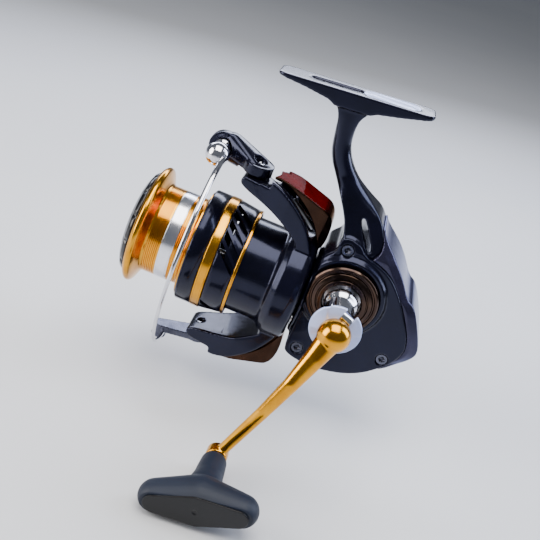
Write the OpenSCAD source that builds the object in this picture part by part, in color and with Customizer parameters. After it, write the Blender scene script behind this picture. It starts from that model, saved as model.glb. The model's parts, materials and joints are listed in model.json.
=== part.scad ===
// Spinning reel with a folding handle, a one-piece bail and a front drag.
// Row frame: origin at the centre of the foot's seat face, +Z up towards the rod,
// -Y towards the spool's nose, +X on the handle's side.
// Reel frame: the main shaft is the Y axis, and the foot's centre is axis_drop above its origin.

/* [Foot and stem] */
// Length of the rod foot
foot_len = 61; // [58:0.5:64]
// Width of the rod foot
foot_w = 13.5; // [13:0.25:14]
// Distance from the seat face to the main shaft's axis
axis_drop = 86; // [85.5:0.25:86.5]
// Nose-up tilt of the main shaft to the foot, in degrees
axis_tilt = 5.5; // [5:0.25:6]
// Thickness of the stem's blade
stem_w = 9; // [8:0.5:10]

/* [Spool] */
// Radius of the spool's lip
lip_r = 25.5; // [25.3:0.1:25.7]
// Radius of the barrel that carries the line
barrel_r = 19.2; // [19:0.1:19.5]
// Radius of the skirt at its front edge
skirt_r = 24.5; // [24.3:0.1:24.6]
// Number of slots in each group on the skirt
slots_in_group = 5; // [3:1:5]

/* [Rotor and bail] */
// Radius of the bail wire's sweep around the main shaft
bail_r = 44.5; // [44:0.25:45]
// Radius of the bail wire's section
wire_r = 0.7; // [0.6:0.05:0.8]
// How far the bail flips open, in degrees
bail_flip_turn = 100; // [80:5:100]
// Radius of the line roller
roller_r = 3.6; // [3.2:0.1:3.8]

/* [Handle] */
// Distance from the drive axis to the knob's axis
lever_len = 66; // [64:0.5:68]
// Length of the T-shaped knob's bar
knob_len = 44; // [40:1:46]
// Turn of the handle from straight down towards the nose, in degrees
handle_turn = 20; // [10:1:30]

/* [Gears] */
// Teeth on the drive gear's face
drive_teeth = 62; // [56:1:64]
// Teeth on the pinion
pinion_teeth = 10; // [8:1:10]
// Teeth on the small gear that turns the oscillation gear
transfer_teeth = 22; // [21:1:22]
// Teeth on the oscillation gear
oscillation_teeth = 30; // [30:1:31]

/* [Hidden] */

$fn = 64;
hull_fn = 28;
eps = 0.01;
run_gap = 0.05;      // radial clearance of a running fit
free_gap = 0.3;      // clearance between moving neighbours

gold = "goldenrod";
black = "#15151c";
steel = "silver";

// ---- stations along the main shaft (reel frame, Y) ----
knob_front_y = -66;
knob_back_y = -62.2;
lip_front_y = -61.8;
lip_back_y = -57.5;
skirt_front_y = -38.2;
ring_front_y = -31.1;
ring_back_y = -27.4;
skirt_back_y = -16.9;
rotor_front_y = -24.2;
rotor_back_y = 10;
pivot_y = -25;
roller_y = -41.7;
wire_y = -38.5;
shell_front_y = 11.8;
cover_front_y = 12.45;

// ---- cross distances ----
shaft_r = 2;
drag_bore_r = 16.5;
skirt_inner_r = 22.9;
skirt_back_r = 23.3;
rotor_collar_r = 20.8;
rotor_rim_r = 24;
rotor_wall = 2;
arm_half_w = 12.5;
arm_pocket_half_w = 8.2;
cover_half_w = 7.6;
lever_z = 42.9;
seat_z = 40.2;
pivot_head_z = 43.4;
pivot_head_r = 2.6;

// ---- drive line ----
drive_y = 25.9;
drive_z = 11.1;
drive_gear_r = 13.2;
drive_shaft_r = 4;
post_r = 5.3;
pinion_r = 4.6;
pinion_journal_r = 4;
gear_module = 0.8;
oscillation_y = 41;
gear_centres = gear_module * (transfer_teeth + oscillation_teeth) / 2;
oscillation_z = drive_z - sqrt(pow(gear_centres, 2) - pow(oscillation_y - drive_y, 2));
mesh_angle = atan2(oscillation_z - drive_z, oscillation_y - drive_y);
crank_r = 6;
crank_pin_r = 1.6;
slider_front_y = 31.5;
slider_len = 7;
slider_z = oscillation_z;
guide_x = -9;
guide_z = -4.4;
boss_r = 16.5;
shell_left_x = -14;
shell_right_x = 13;
cover_out_x = 15.5;
shell_wall = 1.8;
root_low_z = 31;
root_high_z = 54;

// ---- handle ----
fold_x = 42;
fold_rise = 5.5;
disc_x = 42.3;
disc_t = 1.5;
ball_x = 47.6;
ball_r = 6.45;
arm_tip_x = 60;
knob_stem_x = 63;
knob_bar_x = 85;
knob_end_x = 92.5;
knob_turn = 36;
tongue_w = 4.4;

// ---- outlines in the reel frame's YZ plane: few control points, rounded by smooth() ----
shell_outline = [
    [shell_front_y, -21], [15, -24.5], [28, -26], [44, -21.5], [55, -11], [58.5, -3], [57, 3.5],
    [52, 12], [46, 20.5], [40, 26.5], [33, 29.5], [27.6, 30.5], [24.5, 33.8], [19, 35],
    [15.8, 33], [16.6, 28], [13, 24.3], [shell_front_y, 22]
];
stem_outline = [
    [17, 28], [16.6, 34], [13, 42], [5, 51.5], [-0.5, 59.5], [-2.3, 68], [-3.4, 76], [-8, 82.4],
    [14, 84.4], [5.5, 79], [4.5, 72], [6, 63], [12, 55], [20.5, 49.6], [29.5, 43.2], [34, 33],
    [26, 26]
];
guard_outline = [
    [30.9, 42.2], [31.6, 39.6], [39.5, 32.5], [45, 26.6], [50.2, 19], [54.4, 17],
    [60.3, 6.9], [64.3, -1.6], [62.6, -6], [57, -11.5], [50, -16], [44, -14], [40, 0], [34, 22],
    [24, 39]
];
arm_outline = [
    [-29.4, 35.4], [-29.4, 38.9], [-24, 42.3], [-15, 42.9], [-6.5, 38.6], [2, 31.2], [8, 20.5],
    [9.9, 9], [9.9, -2], [2, -2], [2, 21.5], [-2.6, 25.2], [-8, 29], [-16, 32.2]
];
cover_outline = [
    [-17.4, 42.2], [-17.4, 44.2], [-8, 43.3], [1, 40.4], [9, 38], [11.3, 33], [11.2, 24],
    [9.5, 21.6], [8.4, 24.5], [3.4, 33], [-5.6, 40.4], [-12, 42.6]
];
slit_outline = [[20.4, 43], [22, 42.6], [28.6, 33.2], [28.8, 31], [27.2, 31.6], [21.4, 39.6]];

// ---- helpers ----
function cut_corners(p) = [
    for (i = [0 : len(p) - 1])
        let (a = p[i], b = p[(i + 1) % len(p)])
        each [0.75 * a + 0.25 * b, 0.25 * a + 0.75 * b]
];
function smooth(p, rounds = 2) = rounds == 0 ? p : smooth(cut_corners(p), rounds - 1);

module in_reel_frame() {
    rotate([-axis_tilt, 0, 0]) translate([0, 0, -axis_drop]) children();
}

// Round bar along Y
module bar_y(r, y0, y1) {
    translate([0, y0, 0]) rotate([-90, 0, 0]) cylinder(h = y1 - y0, r = r);
}

// Round bar along X, centred on (y, z)
module bar_x(r, x0, x1, y = 0, z = 0) {
    translate([x0, y, z]) rotate([0, 90, 0]) cylinder(h = x1 - x0, r = r);
}

// Round bar along Z
module bar_z(r, z0, z1, x = 0, y = 0) {
    translate([x, y, z0]) cylinder(h = z1 - z0, r = r);
}

// Turned shape about Y; points are [radius, y]
module turned_y(points) {
    rotate([-90, 0, 0]) rotate_extrude() polygon(points);
}

// Turned shape about X; points are [radius, x]
module turned_x(points) {
    rotate([0, 90, 0]) rotate_extrude() polygon(points);
}

// Ring about Y
module ring_y(outer, inner, y0, y1) {
    difference() {
        bar_y(outer, y0, y1);
        bar_y(inner, y0 - 1, y1 + 1);
    }
}

// Ring about X, centred on (y, z)
module ring_x(outer, inner, x0, x1, y = 0, z = 0) {
    difference() {
        bar_x(outer, x0, x1, y, z);
        bar_x(inner, x0 - 1, x1 + 1, y, z);
    }
}

// Outline in the YZ plane, extruded along X
module plate_x(x0, x1) {
    translate([x0, 0, 0]) rotate([90, 0, 90]) linear_extrude(x1 - x0) children();
}

// Round-headed screw along X with a cross slot, head at x0 + length
module screw_x(x0, x1, head_r, body_r, head_h) {
    difference() {
        union() {
            bar_x(body_r, x0, x1);
            bar_x(head_r, x1 - eps, x1 + head_h);
        }
        for (a = [0, 90])
            rotate([a, 0, 0])
                translate([x1 + head_h / 2, -head_r * 0.6, -head_r * 0.15])
                    cube([head_h, head_r * 1.2, head_r * 0.3]);
    }
}

// Spur gear along X with trapezoid teeth, centred on its own axis
module spur_gear(teeth, x0, x1, turn = 0) {
    pitch_r = gear_module * teeth / 2;
    root_r = pitch_r - 0.95 * gear_module;
    tip_r = pitch_r + 0.5 * gear_module;
    half_root = gear_module * 0.68;
    half_tip = gear_module * 0.3;
    translate([x0, 0, 0]) rotate([90, 0, 90]) rotate(turn) linear_extrude(x1 - x0) union() {
        circle(root_r);
        for (i = [0 : teeth - 1])
            rotate(360 * i / teeth)
                polygon([
                    [root_r - 0.4, -half_root], [tip_r, -half_tip],
                    [tip_r, half_tip], [root_r - 0.4, half_root]
                ]);
    }
}

module at_drive_axis() {
    translate([0, drive_y, drive_z]) children();
}

// Frame of the handle: -Z runs down the arm, X is the drive axis
module in_handle_frame() {
    at_drive_axis() rotate([-handle_turn, 0, 0]) children();
}

// ---- foot, stem and gear housing ----
cover_screw_spots = [[20.2, 30.1], [17.5, -19.5], [51.5, -9.3]];
screw_start_x = 10.2;
screw_post_x = [shell_left_x + 0.5, shell_left_x + 0.5, 9.6];

module foot() {
    tip_r = 3.5;
    under = [
        [-foot_len / 2, -1.3], [-foot_len / 2, 0], [foot_len / 2, 0], [foot_len / 2, -1.6],
        [17.8, -4], [9.5, -5.3], [5.4, -7.2], [3.8, -10.6], [-4.6, -10.6], [-6.4, -6.8],
        [-9.6, -4.9], [-19, -3]
    ];
    intersection() {
        plate_x(-foot_w, foot_w) polygon(under);
        translate([0, 0, -20]) linear_extrude(20)
            hull()
                for (x = [-1, 1], y = [-1, 1])
                    translate([x * (foot_w / 2 - tip_r), y * (foot_len / 2 - tip_r)]) circle(tip_r);
    }
}

// Grooves that narrow the foot's underside to the blade's width
module foot_blend() {
    groove_z = -12.9;
    groove_r = foot_w / 2 - stem_w / 2 + 4.2;
    for (s = [-1, 1])
        translate([s * foot_w / 2, 0, groove_z]) rotate([90, 0, 0])
            cylinder(h = foot_len, r = groove_r, center = true);
}

module inlay_shape(grow) {
    translate([0, 13.5]) offset(delta = grow) hull()
        for (y = [-7.5, 7.5]) translate([0, y]) scale([1, 0.8]) circle(4.6);
}

module body_frame() {
    color(black) difference() {
        union() {
            difference() {
                foot();
                foot_blend();
            }
            in_reel_frame() {
                intersection() {
                    plate_x(shell_left_x, shell_right_x) polygon(smooth(stem_outline));
                    root_taper(shell_left_x, shell_right_x, stem_w / 2);
                }
                gear_housing();
            }
        }
        // pocket of the inlay and the long recess of the seat
        translate([0, 0, -0.6]) linear_extrude(2) inlay_shape(0);
        translate([0, -8, -0.8]) linear_extrude(2)
            hull() for (y = [-8, 8]) translate([0, y]) circle(2.6);
        in_reel_frame() {
            plate_x(-20, 20) polygon(smooth(slit_outline));
            for (p = cover_screw_spots)
                bar_x(1.2, screw_start_x, shell_right_x + 1, p[0], p[1]);
        }
        translate([-50, -60, 0]) cube([100, 120, 30]);
    }
}

// The body narrows from the housing's width to the stem's blade
module root_taper(left_x, right_x, blade_x) {
    rotate([90, 0, 0]) linear_extrude(200, center = true)
        polygon([
            [left_x, -60], [right_x, -60], [right_x, root_low_z], [blade_x, root_high_z],
            [blade_x, 100], [-blade_x, 100], [-blade_x, root_high_z], [left_x, root_low_z]
        ]);
}

module gear_housing() {
    seat_wall_x = -10.4;
    difference() {
        union() {
            difference() {
                plate_x(shell_left_x, shell_right_x) polygon(smooth(shell_outline));
                plate_x(shell_left_x + shell_wall, shell_right_x + 1)
                    offset(delta = -shell_wall) polygon(smooth(shell_outline));
            }
            // front wall and the collar that holds the clutch
            bar_y(19, 10.8, 12.4);
            bar_y(13.5, 0.4, 12.4);
            // web under the pinion's rear bush
            translate([-pinion_r, 27.5, -25]) cube([2 * pinion_r, 3, 25]);
            bar_y(pinion_r, 27.5, 30.5);
            // seat of the left drive bearing
            at_drive_axis() bar_x(9.5, shell_left_x - 1.5, seat_wall_x);
            bar_x(2.5, 5, 10.2, oscillation_y, oscillation_z);
            // lugs that hold the guide rod
            for (y = [29.6, 51.6])
                translate([shell_left_x + 1, y, guide_z - 1.9]) cube([6.7, 1.5, 3.6]);
            intersection() {
                union() {
                    // post of the oscillation gear stands on a bridge from the floor
                    translate([9.8, oscillation_y - 3, -25]) cube([2.6, 6, 25 + oscillation_z]);
                    for (i = [0 : 2])
                        let (p = cover_screw_spots[i])
                        bar_x(3, screw_post_x[i], shell_right_x, p[0], p[1]);
                }
                plate_x(shell_left_x, shell_right_x) polygon(smooth(shell_outline));
            }
        }
        bar_y(11.5, -1, 8.4);
        bar_y(8, -1, 12.4);
        bar_y(pinion_r + 0.6, 12, 20);
        bar_y(3.4, 20, 40);
        at_drive_axis() bar_x(drive_gear_r + 0.4, -9.4, -4.5);
        guard_screw_hole();
        at_drive_axis() bar_x(7.5, seat_wall_x - 3.2, 0);
        at_drive_axis() bar_x(5, shell_left_x - 3, 0);
        translate([guide_x, 0, guide_z]) bar_y(1.2, 29, 60);
    }
}

module foot_inlay() {
    color("lightsteelblue") translate([0, 0, -0.6]) linear_extrude(0.6) inlay_shape(-0.1);
}

module side_cover() {
    color(black) in_reel_frame() difference() {
        union() {
            intersection() {
                plate_x(shell_right_x, cover_out_x) polygon(smooth(shell_outline));
                translate([0, cover_front_y, -40]) cube([30, 80, 90]);
                root_taper(shell_left_x, cover_out_x, stem_w / 2 + 2);
            }
            intersection() {
                translate([0, cover_front_y, -40]) cube([30, 80, 90]);
                at_drive_axis() turned_x([
                    [9, shell_right_x], [boss_r + 1.5, shell_right_x],
                    [boss_r + 1.5, cover_out_x], [boss_r, 17.6], [15, 17.6], [14.6, 17],
                    [9, 17]
                ]);
            }
            at_drive_axis() bar_x(10, shell_right_x - 2.5, 17);
        }
        at_drive_axis() bar_x(7.5, shell_right_x - 0.2, 30);
        at_drive_axis() bar_x(5, 0, 30);
        for (p = cover_screw_spots) {
            bar_x(1.3, 0, 30, p[0], p[1]);
            bar_x(2.6, shell_right_x + 0.95, 30, p[0], p[1]);
        }
    }
}

module rear_guard() {
    half_w = 14.6;
    color("#2b2b38") in_reel_frame() difference() {
        intersection() {
            plate_x(-half_w, half_w) polygon(smooth(guard_outline));
            root_taper(-half_w, half_w, stem_w / 2);
        }
        for (outline = [shell_outline, stem_outline, slit_outline])
            plate_x(-20, 20) offset(delta = 0.02) polygon(smooth(outline));
        guard_screw_hole();
    }
}

module guard_screw_hole() {
    translate([0, 56, -11]) rotate([45, 0, 0]) cylinder(h = 8, r = 1.3, center = true);
}

module boss_ring() {
    color("#5a4c44") in_reel_frame() difference() {
        at_drive_axis() turned_x([
            [7.6, 17.1], [14.4, 17.1], [14.6, 19.8], [14, 20.4], [9, 21.8], [7.6, 21.8]
        ]);
        translate([0, cover_front_y - 20, -40]) cube([40, 20, 90]);
    }
}

module body_screws() {
    color(steel) in_reel_frame()
        for (p = cover_screw_spots)
            translate([0, p[0], p[1]]) screw_x(screw_start_x + 0.2, shell_right_x + 1, 2.3, 1.15, 1.1);
}

module guard_screw() {
    color(steel) in_reel_frame() translate([0, 56, -11]) rotate([45, 0, 0])
        difference() {
            translate([0, 0, -3]) cylinder(h = 5, r = 1.25);
            translate([-1.5, -0.3, -3.5]) cube([3, 0.6, 1]);
        }
}

module drive_bearings() {
    color(steel) in_reel_frame() at_drive_axis() {
        ring_x(7.45, drive_shaft_r + run_gap, -13.5, -10.5);
        ring_x(7.45, drive_shaft_r + run_gap, 13.3, 16.9);
    }
}

module pinion_bearing() {
    color(steel) in_reel_frame() ring_y(7.95, pinion_journal_r + run_gap, 8.6, 12.3);
}

module clutch_housing() {
    color("dimgray") in_reel_frame() ring_y(11.45, 6 + run_gap, 0.6, 8.3);
}

module clutch_screws() {
    color(steel) in_reel_frame()
        for (a = [30 : 120 : 270])
            rotate([0, a, 0]) translate([16, 0, 0]) bar_y(1.3, 10.3, 10.8);
}

module pinion_bush() {
    color("darkgoldenrod") in_reel_frame() ring_y(3.38, 3 + run_gap, 27.5, 30.5);
}

module guide_rod() {
    color(steel) in_reel_frame() translate([guide_x, 0, guide_z]) bar_y(1.19, 29.6, 53.1);
}

// ---- drive line ----
module drive_gear() {
    rim_in = 10.6;
    face_x = -4.9;
    tooth_h = 0.9;
    color("burlywood") in_reel_frame() at_drive_axis() {
        difference() {
            union() {
                bar_x(drive_gear_r, -9, face_x - tooth_h);
                intersection() {
                    ring_x(drive_gear_r, rim_in, -7, face_x);
                    translate([-7, 0, 0]) rotate([90, 0, 90]) linear_extrude(3)
                        for (i = [0 : drive_teeth - 1])
                            rotate(360 * i / drive_teeth)
                                polygon([
                                    [rim_in - 1, -0.24], [drive_gear_r + 1, -0.36],
                                    [drive_gear_r + 1, 0.36], [rim_in - 1, 0.24]
                                ]);
                }
            }
            bar_x(drive_shaft_r, -10, 10);
            for (a = [0 : 60 : 300])
                rotate([a, 0, 0]) translate([0, 7.6, 0]) bar_x(1.7, -12, 0);
        }
        difference() {
            spur_gear(transfer_teeth, 6, 9, mesh_angle);
            bar_x(drive_shaft_r, 5, 10);
        }
    }
}

module drive_shaft() {
    color(steel) in_reel_frame() at_drive_axis() difference() {
        union() {
            bar_x(drive_shaft_r, -14.5, 21.5);
            bar_x(drive_shaft_r + 1.2, 9.2, 10.2);
        }
        bar_x(2.6, -20, 30);
    }
}

module handle_post() {
    color("gainsboro") in_reel_frame() in_handle_frame() difference() {
        union() {
            bar_x(2.55, -14.5, 23);
            turned_x([
                [0, 21.9], [6.6, 21.9], [6.9, 22.6], [6.9, 24.6], [6.1, 25.8], [post_r, 27],
                [post_r, 38], [post_r - 0.9, 41.8], [0, 41.8]
            ]);
            translate([40, -tongue_w / 2, -2.2]) cube([fold_x - 40, tongue_w, fold_rise + 4.4]);
            translate([fold_x, tongue_w / 2, fold_rise]) rotate([90, 0, 0])
                cylinder(h = tongue_w, r = 2.2);
            translate([fold_x - 1, -tongue_w / 2, -2]) cube([3.2, tongue_w, fold_rise + 2]);
        }
        translate([fold_x, 5, fold_rise]) rotate([90, 0, 0]) cylinder(h = 10, r = 1.2 + run_gap);
        bar_x(1.3, -20, 5);
    }
}

module handle_lock_cap() {
    color(black) in_reel_frame() at_drive_axis() {
        difference() {
            turned_x([
                [0, -22.5], [6, -22.5], [7, -21.5], [7.4, -16.2], [4.5, -16.2], [4.5, -15.8],
                [0, -15.8]
            ]);
            for (a = [0 : 30 : 330])
                rotate([a, 0, 0]) translate([0, 7.9, 0]) bar_x(0.9, -24, -17.5);
        }
        bar_x(1.28, -16, 3);
    }
}

// ---- handle ----
// Points down the arm: [x, distance from the drive axis, section radius]
arm_path = [
    [ball_x, 0, 5.4], [52.5, 10, 4.1], [56.8, 22, 3.1], [59, 38, 2.6], [arm_tip_x, lever_len, 2.3]
];

module fold_slot(extra) {
    w = tongue_w + 0.4 + extra;
    translate([30, -w / 2, -2.9]) cube([14.9, w, 20]);
}

module handle_arm() {
    color(gold) in_reel_frame() in_handle_frame() difference() {
        union() {
            translate([ball_x, 0, 0]) sphere(r = ball_r);
            for (i = [0 : len(arm_path) - 2])
                hull()
                    for (p = [arm_path[i], arm_path[i + 1]])
                        translate([p[0], 0, -p[1]]) scale([0.8, 1, 1]) sphere(r = p[2], $fn = hull_fn);
            translate([0, 0, -lever_len]) bar_x(4.4, arm_tip_x - 2.6, arm_tip_x + 2.6);
            bar_x(4.6, disc_x + disc_t, ball_x);
        }
        translate([30, -10, -10]) cube([disc_x + disc_t - 30, 20, 20]);
        fold_slot(0);
        translate([0, 0, -lever_len]) bar_x(1.5, arm_tip_x - 5, arm_tip_x + 5);
        translate([fold_x, 5, fold_rise]) rotate([90, 0, 0]) cylinder(h = 10, r = 1.2);
    }
}

module joint_disc() {
    color("lightsteelblue") in_reel_frame() in_handle_frame() difference() {
        turned_x([
            [0, disc_x], [9.6, disc_x], [10, disc_x + 0.4], [10, disc_x + disc_t - 0.4],
            [9.6, disc_x + disc_t], [0, disc_x + disc_t]
        ]);
        fold_slot(0);
        translate([fold_x, 15, fold_rise]) rotate([90, 0, 0]) cylinder(h = 30, r = 1.5);
    }
}

module fold_pin() {
    color(steel) in_reel_frame() in_handle_frame()
        translate([fold_x, 4.2, fold_rise]) rotate([90, 0, 0]) cylinder(h = 8.4, r = 1.2);
}

module knob_shaft() {
    color(steel) in_reel_frame() in_handle_frame() translate([0, 0, -lever_len]) union() {
        bar_x(1.5, arm_tip_x - 2.6, knob_bar_x - 1);
        bar_x(3.6, arm_tip_x + 2.6, arm_tip_x + 3);
    }
}

module knob_retainer() {
    color(steel) in_reel_frame() in_handle_frame() translate([0, 0, -lever_len])
        bar_x(2.8, knob_bar_x - 1, knob_bar_x + 1);
}

module in_knob_frame() {
    in_reel_frame() in_handle_frame() translate([0, 0, -lever_len]) rotate([knob_turn, 0, 0]) children();
}

module knob_bar(y, r, x) {
    translate([x, y, 0]) scale([1, 1, 0.92]) sphere(r = r, $fn = hull_fn);
}

module knob() {
    end_y = knob_len / 2 - 6;
    color("#3a4252") in_knob_frame() difference() {
        union() {
            turned_x([
                [0, knob_stem_x], [4.2, knob_stem_x], [5, knob_stem_x + 1], [5.4, knob_stem_x + 6],
                [5.6, knob_stem_x + 10], [6.6, knob_stem_x + 15], [6.6, knob_stem_x + 18],
                [0, knob_stem_x + 18]
            ]);
            intersection() {
                for (s = [-1, 1])
                    hull() {
                        knob_bar(0, 9, knob_bar_x);
                        knob_bar(s * end_y, 6.4, knob_bar_x + 2.5);
                    }
                translate([knob_stem_x, -40, -20]) cube([knob_end_x - knob_stem_x - 0.8, 80, 40]);
            }
        }
        bar_x(1.5 + run_gap, knob_stem_x - 5, knob_bar_x);
        bar_x(3.2, knob_bar_x - 1.4, knob_end_x + 1);
    }
}

module knob_cap() {
    color("#20242e") in_knob_frame() {
        difference() {
            translate([knob_end_x - 0.8, 0, 0]) rotate([90, 0, 90]) linear_extrude(0.8)
                hull() {
                    circle(6.6);
                    for (s = [-1, 1]) translate([s * (knob_len / 2 - 6.5), 0]) circle(3.9);
                }
            bar_x(1, knob_end_x - 0.3, knob_end_x + 1);
        }
        bar_x(3.15, knob_end_x - 3, knob_end_x - 0.8);
    }
}

// ---- oscillation ----
module oscillation_gear() {
    color("burlywood") in_reel_frame() translate([0, oscillation_y, oscillation_z]) difference() {
        union() {
            spur_gear(oscillation_teeth, 6, 9, mesh_angle + 180 + 180 / oscillation_teeth);
            translate([0, -crank_r, 0]) bar_x(crank_pin_r, 4.5, 7);
        }
        bar_x(2.5 + run_gap, 0, 20);
        for (a = [90, 180, 270])
            rotate([a, 0, 0]) translate([0, -6.6, 0]) bar_x(2.2, 5, 10);
    }
}

module main_shaft() {
    color(steel) in_reel_frame() bar_y(shaft_r, -64.4, 41);
}

slider_half_h = 8.6;
slot_y = slider_front_y + slider_len / 2;
slot_half_w = crank_pin_r + 0.1;
slot_half_len = crank_r + crank_pin_r + 0.2;
screw_x = -1.8;

module oscillation_slider() {
    color("#555b66") in_reel_frame() difference() {
        union() {
            translate([-4, slider_front_y, slider_z - slider_half_h])
                cube([8.2, slider_len, 2 * slider_half_h]);
            translate([guide_x - 2, slider_front_y, guide_z - 2]) cube([7, slider_len, 4]);
        }
        bar_y(shaft_r, 30, 50);
        translate([guide_x, 0, guide_z]) bar_y(1.2 + run_gap, 30, 50);
        // cross slot that the oscillation gear's crank pin works in
        translate([2.2, slot_y - slot_half_w, slider_z - slot_half_len])
            cube([5, 2 * slot_half_w, 2 * slot_half_len]);
        bar_z(0.9, 1, 12, screw_x, slot_y);
    }
}

module slider_screw() {
    color(steel) in_reel_frame() {
        bar_z(0.88, 2.05, slider_z + slider_half_h, screw_x, slot_y);
        bar_z(1.7, slider_z + slider_half_h, slider_z + slider_half_h + 1.1, screw_x, slot_y);
    }
}

// ---- spool and drag ----
module spool_support() {
    color("darkgoldenrod") in_reel_frame() difference() {
        union() {
            bar_y(5.4, -36.6, -31);
            for (a = [0 : 30 : 330])
                rotate([0, a, 0]) translate([5.3, 0, 0]) bar_y(0.6, -35.8, -33.8);
        }
        bar_y(shaft_r, -40, -30);
    }
}

washer_t = 1.1;
washer_back_y = -47.1;

// Rings of one stack: every second washer, from the back of the drag bore
module washer_stack(first, count, outer, inner) {
    for (i = [0 : count - 1])
        let (y = washer_back_y - (first + 2 * i) * (washer_t + 0.12))
        ring_y(outer, inner, y - washer_t, y);
}

module keyed_washers() {
    color(steel) in_reel_frame() washer_stack(1, 3, 14.5, shaft_r);
}

module felt_washers() {
    color("tan") in_reel_frame() washer_stack(0, 3, 15.8, 2.6);
}

module eared_washers() {
    color(steel) in_reel_frame() {
        y = washer_back_y - 6 * (washer_t + 0.12);
        ring_y(15.9, 2.6, y - washer_t, y);
    }
}

module washer_retainer() {
    color(steel) in_reel_frame() ring_y(drag_bore_r - 0.02, drag_bore_r - 1.4, -56.7, -55.9);
}

module spool() {
    color(gold) in_reel_frame() difference() {
        turned_y([
            [drag_bore_r, lip_front_y], [drag_bore_r, -47], [4.2, -47], [4.2, -37], [7, -37],
            [7, -44.5], [barrel_r - 2.2, -44.5], [barrel_r - 2.2, -36.6], [skirt_inner_r, -36.6],
            [skirt_inner_r, -38.9], [barrel_r + 2.6, -38.9], [barrel_r, -40.2],
            [barrel_r, -55.4], [barrel_r + 1.2, -56.6], [lip_r - 1.2, lip_back_y - 0.6],
            [lip_r - 0.2, -58.9], [lip_r, -59.8], [lip_r - 0.5, -61], [lip_r - 2.4, lip_front_y]
        ]);
        // fine grooves turned into the front of the barrel
        for (i = [0 : 5])
            ring_y(barrel_r + 1, barrel_r - 0.18, -54.8 + i * 0.8, -54.4 + i * 0.8);
    }
}

module spool_skirt() {
    slot_half_w = 1.75;
    slot_pitch = 13;
    group_turn = 24;
    slot_front_y = ring_back_y + 0.5;
    slot_back_y = skirt_back_y - 1.7;
    slant = (slot_back_y - slot_front_y) / 2;
    color(black) in_reel_frame() difference() {
        turned_y([
            [skirt_inner_r, skirt_front_y], [skirt_r - 0.3, skirt_front_y],
            [skirt_r, skirt_front_y + 0.4], [skirt_r, ring_front_y],
            [skirt_r - 0.6, ring_front_y], [skirt_r - 0.6, ring_back_y],
            [skirt_r - 0.1, ring_back_y], [skirt_back_r - 0.1, skirt_back_y - 1.1],
            [skirt_back_r - 0.5, skirt_back_y - 1.1], [skirt_back_r - 0.5, skirt_back_y],
            [skirt_inner_r - 0.6, skirt_back_y], [skirt_inner_r - 0.6, -26],
            [skirt_inner_r, -27]
        ]);
        clip_block(0.02);
        for (g = [0 : 120 : 240], i = [0 : slots_in_group - 1])
            rotate([0, -(g + group_turn + i * slot_pitch), 0])
                plate_x(skirt_r - 5, skirt_r + 5)
                    polygon([
                        [slot_front_y, slant - slot_half_w], [slot_front_y, slant + slot_half_w],
                        [slot_back_y, slot_half_w - slant], [slot_back_y, -slot_half_w - slant]
                    ]);
    }
}

module skirt_ring() {
    color(gold) in_reel_frame() turned_y([
        [skirt_r - 0.6, ring_front_y], [skirt_r - 0.1, ring_front_y], [skirt_r + 0.2, ring_front_y + 0.4],
        [skirt_r + 0.2, ring_back_y - 0.4], [skirt_r - 0.1, ring_back_y], [skirt_r - 0.6, ring_back_y]
    ]);
}

module skirt_rear_ring() {
    color(gold) in_reel_frame() turned_y([
        [skirt_back_r - 0.5, skirt_back_y - 1.1], [skirt_back_r, skirt_back_y - 1.1],
        [skirt_back_r + 0.1, skirt_back_y - 0.5], [skirt_back_r - 0.2, skirt_back_y],
        [skirt_back_r - 0.5, skirt_back_y]
    ]);
}

module barrel_band() {
    color("gainsboro") in_reel_frame() ring_y(barrel_r + 0.12, barrel_r, -49.6, -44.4);
}

module clip_block(grow) {
    rotate([0, 160, 0])
        translate([skirt_r - 0.9, -37 - grow, -3 - grow])
            cube([1.9, 3.2 + 2 * grow, 6 + 2 * grow]);
}

module line_clip() {
    color(steel) in_reel_frame() clip_block(0);
}

module spool_bush() {
    color("darkgoldenrod") in_reel_frame() ring_y(4.2, shaft_r + run_gap, -46.9, -37.1);
}

module drag_knob() {
    color(black) in_reel_frame() difference() {
        turned_y([
            [0, knob_front_y], [15.5, knob_front_y], [18.5, knob_front_y + 0.6],
            [21.2, knob_front_y + 1.9], [22.2, knob_back_y], [13, knob_back_y],
            [13, -58.4], [6, -58.4], [6, -61], [0, -61]
        ]);
        bar_y(shaft_r + run_gap, -64.8, -50);
        for (a = [0 : 30 : 330])
            rotate([0, a, 0]) translate([22.9, 0, 0]) bar_y(1.5, -70, -61);
    }
}

module drag_nut() {
    color("darkgoldenrod") in_reel_frame() difference() {
        bar_y(5.9, -61, -58);
        bar_y(shaft_r + run_gap, -70, -50);
    }
}

module drag_spring() {
    coil_r = 0.5;
    color(steel) in_reel_frame()
        for (i = [0 : 1])
            translate([0, -57.2 + i * 1.05, 0]) rotate([-90, 0, 0])
                rotate_extrude() translate([5, 0]) circle(coil_r);
}

// ---- rotor ----
module rotor_arm() {
    difference() {
        intersection() {
            plate_x(-arm_half_w, arm_half_w) polygon(smooth(arm_outline));
            // the arm narrows towards its nose
            translate([0, 0, -10]) linear_extrude(60)
                polygon([
                    [-arm_half_w, 12], [-arm_half_w, -8], [-9.6, -20], [-7.4, -29.6],
                    [7.4, -29.6], [9.6, -20], [arm_half_w, -8], [arm_half_w, 12]
                ]);
        }
        // channel between the two rails, open to the outside
        intersection() {
            translate([0, 2, 3]) plate_x(-arm_half_w, arm_half_w)
                polygon(smooth(arm_outline));
            translate([0, 0, 10]) linear_extrude(50)
                polygon([
                    [-arm_pocket_half_w, 12], [-arm_pocket_half_w, -10], [-6.2, -16.9],
                    [6.2, -16.9], [arm_pocket_half_w, -10], [arm_pocket_half_w, 12]
                ]);
        }
        // flat seat of the bail's pivot
        translate([-15, -35, seat_z - 0.3]) cube([30, 17.8, 10]);
        bar_z(1.6, 20, 50, 0, pivot_y);
        bar_y(rotor_collar_r - 1, -10, 20);
    }
}

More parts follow.
